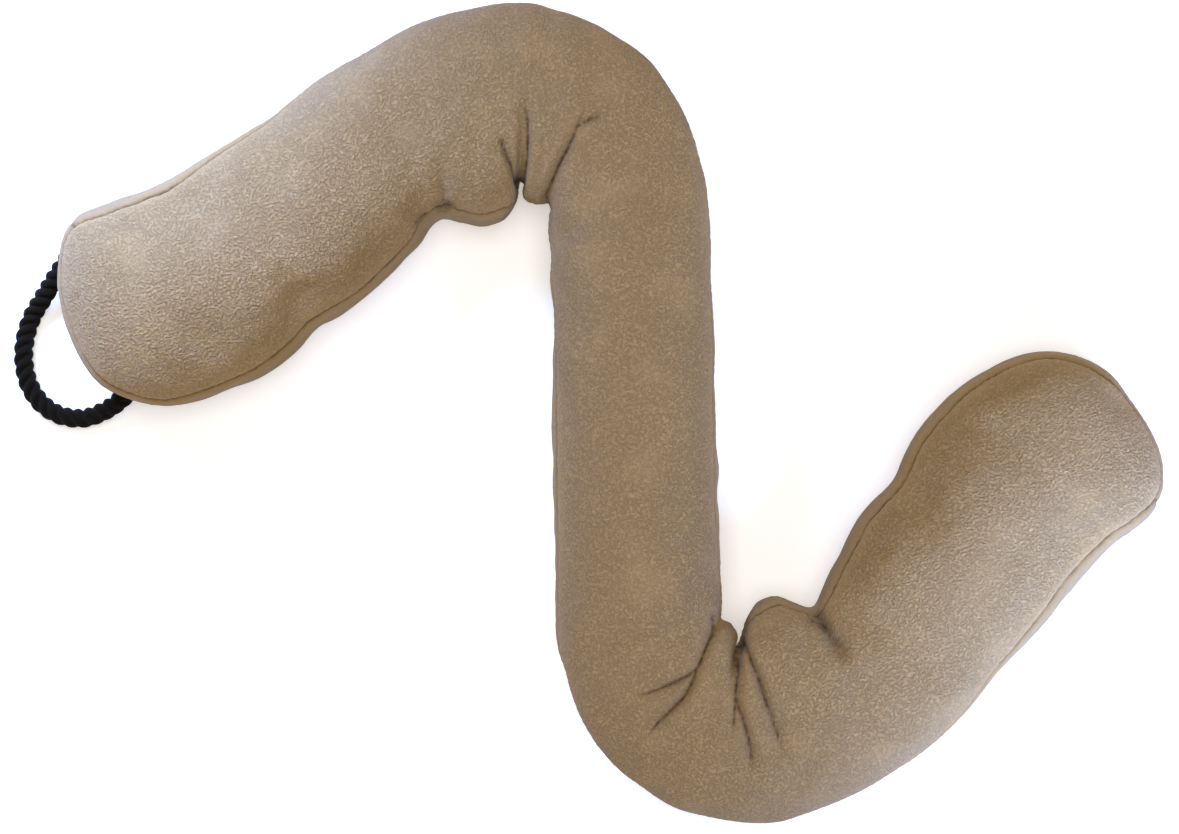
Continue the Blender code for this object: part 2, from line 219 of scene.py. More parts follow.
# The rope's centre line, out of the base seam at the loop end, down to the table, round and back in.
ROPE_ROUTE = (
    (-286, 92, 21), (-293, 82, 19), (-300, 72.5, 15), (-307.5, 62, 9.5), (-313.5, 53, 6),
    (-317, 43.5, 5.3), (-318.5, 34, 5.3), (-318, 24, 5.3), (-315, 14, 5.3), (-308.5, 5, 5.3),
    (-298.5, -1.2, 5.3), (-286, -2.7, 5.5), (-274.5, 1.2, 7.6), (-266, 6.5, 11), (-258, 14, 15),
    (-249, 23, 19),
)


def pick_only(piece: bpy.types.Object) -> None:
    """Deselect everything, then select one object and make it active.

    Args:
        piece: the object to select.
    """
    bpy.ops.object.select_all(action="DESELECT")
    piece.select_set(True)
    bpy.context.view_layer.objects.active = piece


def curve_point(points: np.ndarray, gap: int, share: float) -> np.ndarray:
    """Find a point of the smooth closed curve through some points.

    Args:
        points: the points that the curve runs through.
        gap: which gap between two points.
        share: how far along the gap, from 0 to 1.

    Returns:
        The point of the curve.
    """
    count = len(points)
    p0, p1, p2, p3 = (points[(gap + k) % count] for k in (-1, 0, 1, 2))
    t1 = math.sqrt(np.linalg.norm(p1 - p0))
    t2 = t1 + math.sqrt(np.linalg.norm(p2 - p1))
    t3 = t2 + math.sqrt(np.linalg.norm(p3 - p2))
    t = t1 + share * (t2 - t1)
    a1 = (t1 - t) / t1 * p0 + t / t1 * p1
    a2 = (t2 - t) / (t2 - t1) * p1 + (t - t1) / (t2 - t1) * p2
    a3 = (t3 - t) / (t3 - t2) * p2 + (t - t2) / (t3 - t2) * p3
    b1 = (t2 - t) / t2 * a1 + t / t2 * a2
    b2 = (t3 - t) / (t3 - t1) * a2 + (t - t1) / (t3 - t1) * a3
    return (t2 - t) / (t2 - t1) * b1 + (t - t1) / (t2 - t1) * b2


def smooth_line(points: tuple, step: float) -> np.ndarray:
    """Draw a smooth open line through some points.

    Args:
        points: the points, in order.
        step: the distance between the line's own points.

    Returns:
        The line's points, evenly spaced.
    """
    given = np.array(points, dtype=float)
    padded = np.vstack([2 * given[0] - given[1], given, 2 * given[-1] - given[-2]])
    shares = np.arange(CURVE_SAMPLES) / CURVE_SAMPLES
    fine = [curve_point(padded, gap + 1, share) for gap in range(len(given) - 1) for share in shares]
    fine = np.vstack([fine, given[-1]])
    travelled = np.concatenate([[0.0], np.cumsum(np.linalg.norm(np.diff(fine, axis=0), axis=1))])
    stops = np.linspace(0, travelled[-1], max(2, round(travelled[-1] / step) + 1))
    return np.column_stack([np.interp(stops, travelled, fine[:, axis]) for axis in range(fine.shape[1])])


def ramp(value: np.ndarray, low: float, high: float) -> np.ndarray:
    """Rise smoothly from 0 at low to 1 at high.

    Args:
        value: the values to place.
        low: where the ramp starts.
        high: where it ends; it may lie under low, which turns the ramp round.

    Returns:
        The ramp's height at each value.
    """
    share = np.clip((value - low) / (high - low), 0, 1)
    return share * share * (3 - 2 * share)


def noise_at(points: np.ndarray, size: float, offset: float = 0.0) -> np.ndarray:
    """Read soft noise at some points.

    Args:
        points: the points, in millimetres.
        size: the size of the noise's lumps, in millimetres.
        offset: a shift that gives other noise.

    Returns:
        A value from about -1 to 1 for each point.
    """
    shift = Vector((offset, 2 * offset, 3 * offset))
    return np.array([noise.noise(Vector(point) / size + shift) for point in points])


class Shading:
    """A material's nodes, added and linked by name."""

    def __init__(self, name: str) -> None:
        """Start a material with a Principled shader.

        Args:
            name: the material's name.
        """
        self.material = bpy.data.materials.new(name)
        self.material.use_nodes = True
        self.nodes = self.material.node_tree.nodes
        self.shader = self.nodes["Principled BSDF"]
        self.place = self.add("ShaderNodeTexCoord").outputs["Object"]

    def add(self, kind: str, sockets: dict | None = None, **settings: object) -> bpy.types.Node:
        """Add a node.

        Args:
            kind: the node's type.
            sockets: values for its inputs, or outputs of other nodes to link to them.
            settings: values for its own settings.

        Returns:
            The new node.
        """
        node = self.nodes.new(kind)
        for setting, value in settings.items():
            setattr(node, setting, value)
        for socket, value in (sockets or {}).items():
            self.put(node.inputs[socket], value)
        return node

    def put(self, socket: bpy.types.NodeSocket, value: object) -> None:
        """Link an output to a socket, or set the socket's value.

        Args:
            socket: the input to feed.
            value: another node's output, or a plain value.
        """
        if isinstance(value, bpy.types.NodeSocket):
            self.material.node_tree.links.new(value, socket)
        else:
            socket.default_value = value

    def math(self, operation: str, first: object, second: object = 0.0) -> bpy.types.NodeSocket:
        """Return the result of a Math node."""
        return self.add("ShaderNodeMath", {0: first, 1: second}, operation=operation).outputs[0]

    def blend(self, share: object, first: object, second: object, how: str = "MIX") -> bpy.types.NodeSocket:
        """Mix two colours.

        Args:
            share: how much of the second colour shows, from 0 to 1.
            first: the first colour.
            second: the second colour.
            how: the way the two are mixed.

        Returns:
            The mixed colour.
        """
        node = self.add("ShaderNodeMix", data_type="RGBA", blend_type=how)
        for index, value in ((0, share), (6, first), (7, second)):
            self.put(node.inputs[index], value)
        return node.outputs[2]

    def noise(self, size: float, detail: float = 2.0, distortion: float = 0.0) -> bpy.types.NodeSocket:
        """Return noise with lumps of a size in millimetres."""
        sockets = {"Vector": self.place, "Scale": 1 / (size * MM), "Detail": detail}
        return self.add("ShaderNodeTexNoise", {**sockets, "Distortion": distortion}).outputs["Fac"]

    def spread(self, value: object, low: float, high: float) -> bpy.types.NodeSocket:
        """Return a value stretched so that low becomes 0 and high becomes 1."""
        sockets = {"Value": value, "From Min": low, "From Max": high}
        return self.add("ShaderNodeMapRange", sockets, interpolation_type="SMOOTHSTEP").outputs[0]


@dataclass(frozen=True)
class FleeceFinish:
    """Brushed fleece with a pebbled, curly nap, coloured paler on its tufts and darker between them, partly
    its own tone and partly painted shade.
    """

    name: str
    tuft: tuple[float, float, float]
    ground: tuple[float, float, float]
    # painted shade: the dark brown that the folds, seams and strip joints are darkened towards
    painted_crease_shade: tuple[float, float, float] = (0.072, 0.038, 0.015)
    faded: tuple[float, float, float] = (0.50, 0.34, 0.17)
    tuft_size: float = 1.3
    tuft_height: float = 0.7
    fibre_size: float = 0.45
    fibre_height: float = 0.12
    worn_size: float = 26.0
    patch_size: float = 34.0
    tone_size: float = 60.0
    # how far the tufts' colour and the painted shade between them differ
    contrast: float = 0.8
    sheen: float = 0.12

    def material(self) -> bpy.types.Material:
        """Make the fleece.

        Returns:
            The material, with painted shade in its folds and seams, read from an attribute of the mesh.
        """
        s = Shading(self.name)
        nap = self.nap(s)
        fibres = s.noise(self.fibre_size, detail=2.0)
        hair = {"Strength": 0.35, "Distance": self.fibre_height * MM, "Height": fibres}
        hairs = s.add("ShaderNodeBump", hair)
        tufts = {"Strength": 1.0, "Distance": self.tuft_height * MM, "Height": nap}
        tufts["Normal"] = hairs.outputs[0]
        s.put(s.shader.inputs["Normal"], s.add("ShaderNodeBump", tufts).outputs[0])
        s.put(s.shader.inputs["Base Color"], self.colour(s, nap))
        s.put(s.shader.inputs["Roughness"], 1.0)
        s.put(s.shader.inputs["Specular IOR Level"], 0.06)
        s.put(s.shader.inputs["Sheen Weight"], self.sheen)
        s.put(s.shader.inputs["Sheen Roughness"], 0.5)
        s.put(s.shader.inputs["Sheen Tint"], (1.0, 0.98, 0.96, 1.0))
        return s.material

    def nap(self, s: Shading) -> bpy.types.NodeSocket:
        """Shape the nap: curls and pebbles, flatter where the cloth is taut or worn.

        Args:
            s: the material's nodes.

        Returns:
            The height of the nap, about 0 to 1.5, with its middle at 0.75.
        """
        curls = s.noise(self.tuft_size, detail=2.0, distortion=0.7)
        cell = {"Vector": s.place, "Scale": 1 / (self.tuft_size * 1.25 * MM), "Randomness": 1.0}
        pebbles = s.add("ShaderNodeTexVoronoi", cell, feature="F1").outputs["Distance"]
        raised = s.math("MULTIPLY", s.spread(pebbles, 0.75, 0.1), 0.55)
        full = s.math("ADD", s.spread(curls, 0.34, 0.66), raised)
        taut = s.add("ShaderNodeAttribute", attribute_name="taut").outputs["Fac"]
        worn = s.math("MULTIPLY", s.spread(s.noise(self.worn_size, detail=1.0), 0.5, 0.75), 0.35)
        loose = s.math("SUBTRACT", 1.0, s.math("MAXIMUM", taut, worn))
        return s.math("ADD", 0.75, s.math("MULTIPLY", s.math("SUBTRACT", full, 0.75), loose))

    def colour(self, s: Shading, nap: bpy.types.NodeSocket) -> bpy.types.NodeSocket:
        """Colour the nap: paler on its tufts and darker between them, partly painted shade, with dark brown
        painted shade in the folds and seams.

        Args:
            s: the material's nodes.
            nap: the height of the nap.

        Returns:
            The colour.
        """
        patchy = s.spread(s.noise(self.patch_size, detail=2.0), 0.35, 0.7)
        dimmed = s.math("ADD", s.math("MULTIPLY", patchy, 0.16), 0.84)
        # partly painted shade: the higher the nap, the paler its colour, on top of its patchy tone
        nap_tone_and_shade = s.math("MULTIPLY", s.spread(nap, 0.15, 1.35), dimmed)
        share = s.math("ADD", s.math("MULTIPLY", s.math("SUBTRACT", nap_tone_and_shade, 0.5), self.contrast), 0.5)
        colour = s.blend(share, (*self.ground, 1.0), (*self.tuft, 1.0))
        tone = s.spread(s.noise(self.tone_size, detail=1.0), 0.3, 0.7)
        colour = s.blend(s.math("MULTIPLY", tone, 0.06), colour, (*self.faded, 1.0))
        # painted shade in the folds, seams and strip joints, made uneven by noise
        painted_crease_shade = s.add("ShaderNodeAttribute", attribute_name="painted_crease_shade").outputs["Fac"]
        uneven = s.math("ADD", s.math("MULTIPLY", s.spread(s.noise(3.0), 0.3, 0.7), 0.5), 0.55)
        product = {0: painted_crease_shade, 1: uneven}
        dark = s.add("ShaderNodeMath", product, operation="MULTIPLY", use_clamp=True).outputs[0]
        return s.blend(dark, colour, (*self.painted_crease_shade, 1.0))


@dataclass(frozen=True)
class RopeFinish:
    """Hard twisted black cord, its strands spun from fine yarn that catches a little light."""

    name: str = "black_cord"
    colour: tuple[float, float, float] = (0.0065, 0.0045, 0.0020)
    worn: tuple[float, float, float] = (0.018, 0.0125, 0.0060)

    def material(self) -> bpy.types.Material:
        """Make the cord.

        Returns:
            The material, with yarns that follow the strands by the mesh's own UV map.
        """
        s = Shading(self.name)
        lay = s.add("ShaderNodeUVMap", uv_map="strands").outputs[0]
        yarns = s.add(
            "ShaderNodeTexWave",
            {"Vector": lay, "Scale": 2.0, "Distortion": 1.2, "Detail": 2.0, "Detail Scale": 1.5},
            bands_direction="DIAGONAL",
        ).outputs["Fac"]
        fuzz = s.noise(0.5, detail=3.0)
        height = s.math("ADD", s.math("MULTIPLY", yarns, 0.8), s.math("MULTIPLY", fuzz, 0.5))
        colour = s.blend(s.spread(height, 0.45, 1.2), (*self.colour, 1.0), (*self.worn, 1.0))
        bump = s.add("ShaderNodeBump", {"Strength": 0.8, "Distance": 0.3 * MM, "Height": height})
        s.put(s.shader.inputs["Normal"], bump.outputs[0])
        s.put(s.shader.inputs["Base Color"], colour)
        s.put(s.shader.inputs["Roughness"], 0.62)
        s.put(s.shader.inputs["Specular IOR Level"], 0.05)
        return s.material


@dataclass(frozen=True)
class ThreadFinish:
    """Dark brown sewing thread, paler in soft patches."""

    name: str = "brown_thread"
    colour: tuple[float, float, float] = (0.085, 0.045, 0.018)
    pale: tuple[float, float, float] = (0.17, 0.10, 0.045)

    def material(self) -> bpy.types.Material:
        """Make the thread.

        Returns:
            The material.
        """
        s = Shading(self.name)
        ply = s.noise(0.6, detail=2.0)
        colour = s.blend(s.spread(s.noise(9.0), 0.35, 0.7), (*self.colour, 1.0), (*self.pale, 1.0))
        s.put(s.shader.inputs["Base Color"], colour)
        s.put(s.shader.inputs["Roughness"], 0.7)
        bump = s.add("ShaderNodeBump", {"Strength": 0.5, "Distance": 0.1 * MM, "Height": ply})
        s.put(s.shader.inputs["Normal"], bump.outputs[0])
        return s.material


@dataclass(frozen=True)
class FloorFinish:
    """Plain pale matt floor, lit a little from below like a light table."""

    name: str = "pale_floor"
    colour: tuple[float, float, float] = (0.90, 0.885, 0.87)
    glow: float = 0.36

    def material(self) -> bpy.types.Material:
        """Make the floor's finish.

        Returns:
            The material.
        """
        s = Shading(self.name)
        tone = s.spread(s.noise(400.0), 0.3, 0.7)
        paler = tuple(min(1.0, part * 1.02) for part in self.colour)
        s.put(s.shader.inputs["Base Color"], s.blend(tone, (*self.colour, 1.0), (*paler, 1.0)))
        s.put(s.shader.inputs["Roughness"], 0.9)
        s.put(s.shader.inputs["Specular IOR Level"], 0.1)
        s.put(s.shader.inputs["Emission Color"], (1.0, 0.985, 0.97, 1.0))
        s.put(s.shader.inputs["Emission Strength"], self.glow)
        return s.material


@dataclass
class Rows:
    """The tube's rows, in order round its outline.

    Each row runs from its edge point to its core, a point of the spine that it shares with the row
    across the tube, or with the whole fan round an end.
    """

    edge: np.ndarray
    core: np.ndarray
    seam: np.ndarray
    spine: np.ndarray


@dataclass
class Outline:
    """The outline of the tube, seen from above."""

    sections: dict[str, Section]
    plain_end: tuple[EndPoint, ...]
    loop_end: tuple[EndPoint, ...]
    end_step: float = 1.5

    def rows(self) -> Rows:
        """Space rows along both sides and round both ends.

        Returns:
            The rows, with as many on the near side as on the far side.
        """
        table = list(self.sections.values())
        count = len(table)
        far = np.array([(s.far_x, s.far_y) for s in table], dtype=float)
        near = np.array([(s.near_x, s.near_y) for s in table], dtype=float)
        plain_end, loop_end = (np.array(points)[:, :2] for points in (self.plain_end, self.loop_end))
        loop = np.vstack([far, plain_end, near[::-1], loop_end])
        loop_start = 2 * count + len(self.plain_end) - 1

        far_side, near_side = [], []
        for gap in range(count - 1):
            here, following = table[gap], table[gap + 1]
            longest = max(np.linalg.norm(side[gap + 1] - side[gap]) for side in (far, near))
            steps = max(2, math.ceil(longest / here.lie.value))
            for k in range(steps + (gap == count - 2)):
                share = k / steps
                values = [
                    (1 - share) * getattr(here, name) + share * getattr(following, name)
                    for name in ("crown", "far_seam", "near_seam")
                ]
                far_side.append((curve_point(loop, gap, share), values[0], values[1]))
                near_side.append((curve_point(loop, loop_start - 1 - gap, 1 - share), values[0], values[2]))

        spine = np.array([[*((a[0] + b[0]) / 2), a[1]] for a, b in zip(far_side, near_side)])
        last = len(spine) - 1
        rows = [(edge, i, seam) for i, (edge, _, seam) in enumerate(far_side)]
        heights = [far_side[-1][2], *(point.seam for point in self.plain_end), near_side[-1][2]]
        rows += self.end_fan(loop, count - 1, last, heights)
        rows += [(edge, i, seam) for i, (edge, _, seam) in reversed(list(enumerate(near_side)))]
        heights = [near_side[0][2], *(point.seam for point in self.loop_end), far_side[0][2]]
        rows += self.end_fan(loop, loop_start, 0, heights)
        return Rows(
            edge=np.array([row[0] for row in rows]),
            core=np.array([row[1] for row in rows]),
            seam=np.array([row[2] for row in rows]),
            spine=spine,
        )

    def end_fan(self, loop: np.ndarray, first: int, core: int, heights: list) -> list:
        """Space rows round one end.

        Args:
            loop: the points of the whole outline.
            first: the point that the fan starts at.
            core: the spine point that its rows share.
            heights: height of the top seam at each point that the fan crosses.

        Returns:
            The fan's rows: edge, core, seam height.
        """
        fan = []
        for gap, (start, finish) in enumerate(zip(heights, heights[1:])):
            length = np.linalg.norm(loop[(first + gap + 1) % len(loop)] - loop[first + gap])
            steps = max(1, math.ceil(length / self.end_step))
            for k in range(0 if gap else 1, steps):
                share = k / steps
                seam = (1 - share) * start + share * finish
                fan.append((curve_point(loop, first + gap, share), core, seam))
        return fan


@dataclass
class StuffedTube:
    """The stuffed tube: top panel, strip and base panel round a filling."""

    outline: Outline
    folds: dict[str, Fold]
    rope_ends: tuple
    waist_share: float = 0.46
    squareness: float = 2.5
    sag: float = 4.0
    press: tuple = (0.35, 0.35, 1.0)
    base_seam: float = 12.0
    base_seam_at_rope: float = 17.0
    seam_depth: float = 2.5
    seam_spread: float = 1.6
    seam_wander: float = 0.7
    base_seam_depth: float = 1.2
    # width of the painted shade along the seams
    seam_shade_width: float = 1.05
    joint_depth: float = 0.8
    joint_width: float = 1.6
    # width of the painted shade along the joints in the strip
    joint_shade_width: float = 0.95
    joint_reach: float = 30.0
    joints: tuple = ((-285, 99), (289, -46.5))
    seam_offsets: tuple = (0.5, 1.1, 1.9, 3.2)
    seam_margin: float = 1.4
    base_seam_flank: float = 1.2
    base_seam_margin: float = 2.6
    rope_hold: float = 9.0
    top_columns: int = 32
    wall_columns: int = 10
    base_columns: int = 8
    fold_floor: float = 8.0
    fold_fade: float = 22.0
    # width of the painted dark line along a fold's crevice
    fold_shade_width: float = 0.95
    fold_shadow: float = 3.4
    pucker_depth: float = 0.42
    pucker_length: float = 4.6
    lump_height: float = 0.9
    tuft_height: float = 0.16
    voxel: float = 5.0
    pressure: float = 4.0
    last_frame: int = 20
    swell_limit: float = 5.0
    swell_allowance: float = 1.7
    fullness: float = 0.026
    held_near: float = 2.5
    held_far: float = 9.0
    carry_points: int = 18
    carry_reach: float = 7.0
    taut_reach: float = 7.0
    taut_fold_reach: float = 6.0
    index: np.ndarray = field(init=False, repr=False)
    rib_points: np.ndarray = field(init=False, repr=False)
    points: np.ndarray = field(init=False, repr=False)
    directions: np.ndarray = field(init=False, repr=False)

    @property
    def top_seam_column(self) -> int:
        """Return the column of points that lies in the top seam."""
        return self.top_columns + len(self.seam_offsets)

    @property
    def base_seam_column(self) -> int:
        """Return the column of points that lies in the base seam."""
        return self.top_seam_column + len(self.seam_offsets) + self.wall_columns + 2

    def build(self) -> bpy.types.Object:
        """Loft, swell, fold and sew the tube.

        Returns:
            The finished piece.
        """
        rows = self.outline.rows()
        smooth, faces, panels = self.loft(rows)
        body = self.make_mesh("stuffed_tube_cover", smooth, faces, panels)
        normals = self.normals(body)
        crevice, shade = self.fold_in(smooth)
        moved = smooth - normals * self.press * crevice[:, None]
        moved += self.swell(body, smooth, normals)
        moved, seam_shade = self.sew(moved, normals)
        moved += normals * self.unevenness(smooth)[:, None]
        moved[:, 2] = np.maximum(moved[:, 2], 0.0)
        body.data.vertices.foreach_set("co", (moved * MM).astype(np.float32).ravel())
        # store the painted shade of the folds and seams, and how flat the nap lies
        for name, amount in (("painted_crease_shade", np.maximum(shade, seam_shade)), ("taut", self.taut(moved))):
            layer = body.data.attributes.new(name, "FLOAT", "POINT")
            layer.data.foreach_set("value", amount.astype(np.float32))
        body.data.shade_smooth()
        body.data.update()
        self.points = moved
        self.directions = normals
        return body

    def height_of(self, turn: np.ndarray, crown: float) -> np.ndarray:
        """Shape the outline of a section.

        Args:
            turn: angles up from the waist, in radians.
            crown: the section's height.

        Returns:
            The height of the section at each angle.
        """
        waist = self.waist_share * crown
        lift = np.sign(turn) * np.abs(np.sin(turn)) ** (2 / self.squareness)
        return waist + lift * np.where(lift > 0, crown - waist, waist + self.sag)

    def base_seam_height(self, edge: np.ndarray) -> float:
        """Return how high the base seam runs at an edge point: it rises to hold the rope's ends."""
        near = max(math.exp(-(math.dist(edge, end) / self.rope_hold) ** 2) for end in self.rope_ends)
        return self.base_seam + (self.base_seam_at_rope - self.base_seam) * near

    def stations(self, top_seam: float, base_seam: float, girth: float) -> np.ndarray:
        """Space a row's columns.

        Args:
            top_seam: distance of the top seam from the crest, along the cover.
            base_seam: distance of the base seam from the crest.
            girth: distance of the keel from the crest.

        Returns:
            The distance of each column from the crest.
        """
        offsets = np.array(self.seam_offsets)
        clear = self.seam_offsets[-1] + self.seam_margin
        flank = self.base_seam_flank
        top = np.linspace(0, top_seam - clear, self.top_columns)
        wall = np.linspace(top_seam + clear, base_seam - self.base_seam_margin, self.wall_columns)
        base = np.linspace(base_seam + self.base_seam_margin, girth, self.base_columns)
        return np.concatenate([
            top, top_seam - offsets[::-1], [top_seam], top_seam + offsets,
            wall, [base_seam - flank, base_seam, base_seam + flank], base,
        ])

    def loft(self, rows: Rows) -> tuple[np.ndarray, list, list]:
        """Loft the smooth cover through its rows.

        Args:
            rows: the rows round the tube.

        Returns:
            The points in millimetres, the faces, and the panel of each face.
        """
        spine = rows.spine
        wander = noise_at(np.column_stack([rows.edge, rows.seam]), 12.0, offset=6.0) * self.seam_wander
        turns = np.radians(np.linspace(90, -90, 361))
        reach = np.abs(np.cos(turns)) ** (2 / self.squareness)
        reach[[0, -1]] = 0.0
        ribs = []
        for edge, core, seam in zip(rows.edge, rows.core, rows.seam + wander):
            middle, crown = spine[core][:2], spine[core][2]
            across = edge - middle
            heights = np.maximum(self.height_of(turns, crown), 0.0)
            steps = np.hypot(np.diff(reach) * np.linalg.norm(across), np.diff(heights))
            travelled = np.concatenate([[0.0], np.cumsum(steps)])
            top_seam = np.interp(-seam, -heights, travelled)
            base_seam = np.interp(-self.base_seam_height(edge), -heights, travelled)
            stops = self.stations(top_seam, base_seam, travelled[-1])
            share = np.interp(stops, travelled, reach)
            height = np.interp(stops, travelled, heights)
            ribs.append(np.column_stack([middle + share[:, None] * across, height]))
        ribs = np.array(ribs)
        self.rib_points = ribs
        count, columns = ribs.shape[:2]
        crest = spine
        keel = np.column_stack([spine[:, :2], np.zeros(len(spine))])
        points = np.vstack([crest, keel, ribs[:, 1:-1].reshape(-1, 3)])
        index = np.zeros((count, columns), dtype=int)
        index[:, 0] = rows.core
        index[:, -1] = len(spine) + rows.core
        index[:, 1:-1] = 2 * len(spine) + np.arange(count * (columns - 2)).reshape(count, -1)
        self.index = index

        faces, panels = [], []
        following = np.roll(index, -1, axis=0)
        for k in range(columns - 1):
            panel = Panel.TOP if k < self.top_seam_column else Panel.STRIP
            panel = Panel.BASE if k >= self.base_seam_column else panel
            for a, b, c, d in zip(index[:, k], following[:, k], following[:, k + 1], index[:, k + 1]):
                corners = list(dict.fromkeys((int(a), int(b), int(c), int(d))))
                faces.append(corners)
                panels.append(int(panel))
        return points, faces, panels

    def make_mesh(self, name: str, points: np.ndarray, faces: list, panels: list) -> bpy.types.Object:
        """Make the cover's object.

        Args:
            name: the object's name.
            points: its points, in millimetres.
            faces: its faces.
            panels: the panel of each face.

        Returns:
            The object, linked to the scene.
        """
        mesh = bpy.data.meshes.new(name)
        mesh.from_pydata((points * MM).tolist(), [], faces)
        mesh.polygons.foreach_set("material_index", panels)
        mesh.update()
        body = bpy.data.objects.new(name, mesh)
        bpy.context.scene.collection.objects.link(body)
        return body

    def normals(self, body: bpy.types.Object) -> np.ndarray:
        """Read a mesh's vertex normals, turned outwards.

        Args:
            body: the object.

        Returns:
            One normal for each vertex.
        """
        count = len(body.data.vertices)
        flat = np.zeros(count * 3, np.float32)
        body.data.vertices.foreach_get("normal", flat)
        found = flat.reshape(-1, 3).astype(float)
        if found[0][2] < 0:
            body.data.flip_normals()
            found = -found
        return found

    def fold_in(self, points: np.ndarray) -> tuple[np.ndarray, np.ndarray]:
        """Press the folds into the cover.

        Args:
            points: the smooth cover's points, in millimetres.

        Returns:
            How deep each point is drawn in, and how much painted shade it gets in and beside the crevices,
            from 0 to 1.
        """
        total = np.zeros(len(points))
        dark = np.zeros(len(points))
        ground = np.clip((points[:, 2] - self.fold_floor) / self.fold_fade, 0, 1)
        for fold in self.folds.values():
            away, along = self.reach_of(fold, points[:, :2])
            width = fold.root_width + (fold.tip_width - fold.root_width) * along
            near = np.clip(1 - away / width, 0, 1)
            crevice = 1 - np.sqrt(1 - near ** 2)
            trough = near ** 2 * (3 - 2 * near)
            dull = ramp(along, fold.crisp - 0.3, fold.crisp + 0.15)
            fade = 1 - along ** 2 if fold.crisp else np.sin(math.pi * along)
            depth = fold.depth * fade * ((1 - dull) * crevice + dull * trough)
            total += depth ** 4
            # painted shade: a dark line along the crevice and a wider painted shadow beside it
            tint = np.exp(-(away / self.fold_shade_width) ** 2) * (1 - ramp(along, fold.crisp, fold.crisp + 0.2))
            shade = fold.shadow * np.exp(-(away / self.fold_shadow) ** 2) * fade
            dark = np.maximum(dark, np.maximum(tint, shade) * min(1.0, fold.crisp * 2.0))
        return total ** 0.25 * ground, dark * ground

    @staticmethod
    def reach_of(fold: Fold, spots: np.ndarray) -> tuple[np.ndarray, np.ndarray]:
        """Measure a fold from above.

        Args:
            fold: the fold.
            spots: where to measure from: x, y in millimetres.

        Returns:
            Each spot's distance from the fold's line, and how far along the line it is from 0 to 1.
        """
        line = smooth_line(fold.line, 1.5)
        runs = np.diff(line, axis=0)
        lengths = np.linalg.norm(runs, axis=1)
        travelled = np.concatenate([[0.0], np.cumsum(lengths)])
        best = np.full(len(spots), 1e9)
        along = np.zeros(len(spots))
        for start, run, length, before in zip(line, runs, lengths, travelled):
            share = np.clip(((spots - start) @ run) / length ** 2, 0, 1)
            away = np.linalg.norm(spots - start - share[:, None] * run, axis=1)
            nearer = away < best
            best = np.where(nearer, away, best)
            along = np.where(nearer, (before + share * length) / travelled[-1], along)
        return best, along

    def sew(self, points: np.ndarray, normals: np.ndarray) -> tuple[np.ndarray, np.ndarray]:
        """Draw the cover in along its seams, with small puckers across them.

        Args:
            points: the cover's points, in millimetres.
            normals: its directions outwards.

        Returns:
            The moved points, and how much painted shade each gets in a seam or a joint of the strip, from 0
            to 1.
        """
        inward = np.zeros(len(points))
        dark = np.zeros(len(points))
        for column, depth, reach in (
            (self.top_seam_column, self.seam_depth, self.seam_spread),
            (self.base_seam_column, self.base_seam_depth, self.seam_spread * 0.7),
        ):
            line = points[self.index[:, column]]
            run = np.concatenate([[0.0], np.cumsum(np.linalg.norm(np.diff(line, axis=0), axis=1))])
            drift = noise_at(line, 14.0, offset=5.0) * 1.3
            wave = np.cos(2 * math.pi * run / self.pucker_length + 3.0 * drift)
            pull = 1 + 0.35 * noise_at(line, 7.0, offset=2.0) + 0.25 * noise_at(line, 30.0, offset=9.0)
            deep = np.clip(0.85 + 0.8 * noise_at(line, 9.0, offset=7.0), 0, 1)
            for k in range(1, self.index.shape[1] - 1):
                ids = self.index[:, k]
                away = np.linalg.norm(points[ids] - line, axis=1)
                if k != column and away.min() > 4 * reach:
                    continue
                valley = depth * pull * np.exp(-(away / reach) ** 1.2)
                pucker = self.pucker_depth * wave * (1 - np.exp(-(away / 1.2))) * np.exp(-away / 3.2)
                inward[ids] = np.maximum(inward[ids], valley) + pucker
                # painted shade along the seam
                tint = np.exp(-(away / self.seam_shade_width) ** 2) * deep
                dark[ids] = np.maximum(dark[ids], tint)
        for spot in self.joints:
            away = np.abs(self.across_joint(points, spot))
            height = points[:, 2]
            beside = np.hypot(points[:, 0] - spot[0], points[:, 1] - spot[1]) < self.joint_reach
            top = self.top_seam_at(points, spot)
            strip = (height < top + 0.5) & (height > self.base_seam - 1) & beside
            inward += np.where(strip, self.joint_depth * np.exp(-(away / self.joint_width) ** 2), 0.0)
            # painted shade along the joint in the strip
            dark = np.maximum(dark, np.where(strip, 0.95 * np.exp(-(away / self.joint_shade_width) ** 2), 0.0))
        return points - normals * inward[:, None], dark

    def taut(self, points: np.ndarray) -> np.ndarray:
        """Say where the fleece is pulled smooth: beside the seams and along the folds.

        Args:
            points: the cover's points, in millimetres.

        Returns:
            How smooth the nap is at each point, from 0 to 1.
        """
        smooth = np.zeros(len(points))
        line = points[self.index[:, self.top_seam_column]]
        reach = self.taut_reach * (1 + 0.6 * noise_at(line, 22.0, offset=3.0))
        for k in range(1, self.index.shape[1] - 1):
            ids = self.index[:, k]
            away = np.linalg.norm(points[ids] - line, axis=1)
            smooth[ids] = np.exp(-(away / reach) ** 2)
        for fold in self.folds.values():
            away, along = self.reach_of(fold, points[:, :2])
            beside = np.exp(-(away / self.taut_fold_reach) ** 2) * (1 - along)
            smooth = np.maximum(smooth, beside * min(1.0, fold.crisp * 2))
        return 0.8 * smooth

